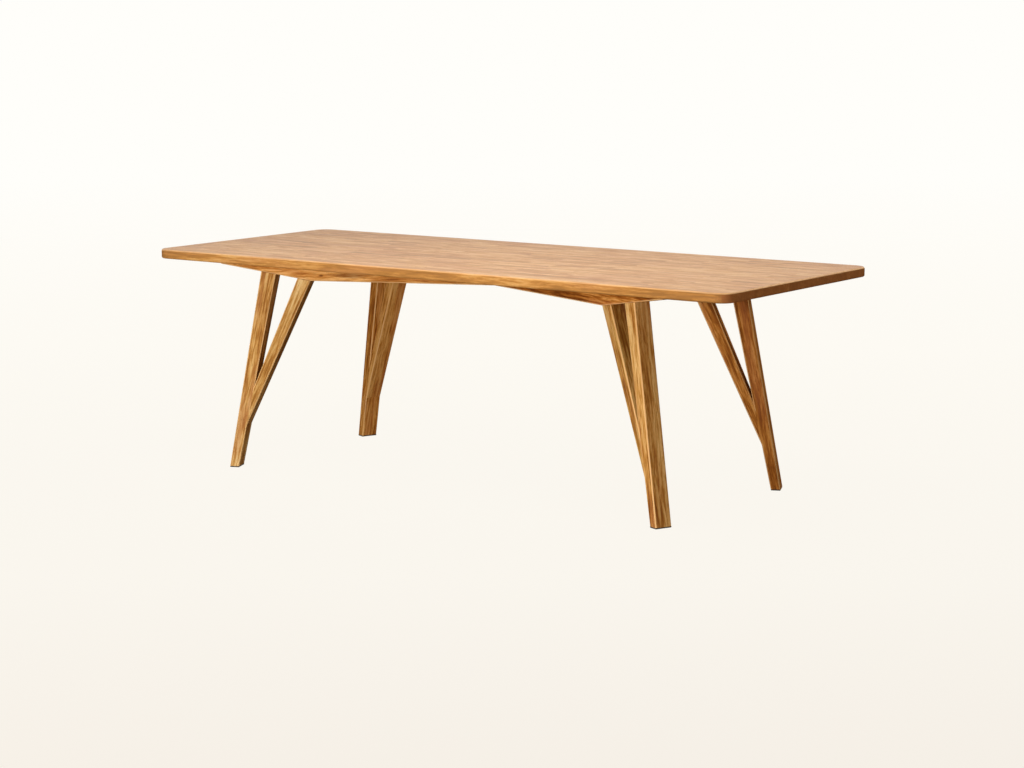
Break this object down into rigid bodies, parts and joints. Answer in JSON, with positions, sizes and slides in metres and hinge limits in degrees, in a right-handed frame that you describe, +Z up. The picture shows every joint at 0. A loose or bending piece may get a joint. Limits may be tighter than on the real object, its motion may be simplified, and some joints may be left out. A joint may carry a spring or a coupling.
{
  "type": "dining table",
  "caption": "Long rectangular wooden dining table: a flat edge-glued slab on crossed, tapering beams and splayed legs that each fork into a leg and an inner brace.",
  "frame": {"origin": "on the floor, under the middle of the top", "axes": "+X along the table's length, +Y to the back, +Z up"},
  "size_m": [2.286, 0.914, 0.75],
  "materials": {
    "top_wood": "sanded and oiled, satin",
    "frame_wood": "planed, sanded and oiled, satin",
    "dowel_wood": "plain beech",
    "screw_steel": "zinc plated",
    "pad_rubber": "matt black"
  },
  "bodies": {
    "root": {"brace_back_left": "frame_wood", "brace_back_right": "frame_wood", "brace_front_left": "frame_wood", "brace_front_right": "frame_wood", "cross_beam_over": "frame_wood", "cross_beam_under": "frame_wood", "foot_pad_back_left": "pad_rubber", "foot_pad_back_right": "pad_rubber", "foot_pad_front_left": "pad_rubber", "foot_pad_front_right": "pad_rubber", "lap_screw": "screw_steel", "leg_back_left": "frame_wood", "leg_back_right": "frame_wood", "leg_front_left": "frame_wood", "leg_front_right": "frame_wood", "scarf_dowels": "dowel_wood", "top_screw_washers": "screw_steel", "top_screws": "screw_steel", "top_strip_01": "top_wood", "top_strip_02": "top_wood", "top_strip_03": "top_wood", "top_strip_04": "top_wood", "top_strip_05": "top_wood", "top_strip_06": "top_wood", "top_strip_07": "top_wood", "top_strip_08": "top_wood", "top_strip_09": "top_wood", "top_strip_10": "top_wood", "top_strip_11": "top_wood", "top_strip_12": "top_wood", "top_strip_13": "top_wood", "top_strip_14": "top_wood", "top_strip_15": "top_wood", "top_strip_16": "top_wood", "top_strip_17": "top_wood"}
  },
  "joints": []
}
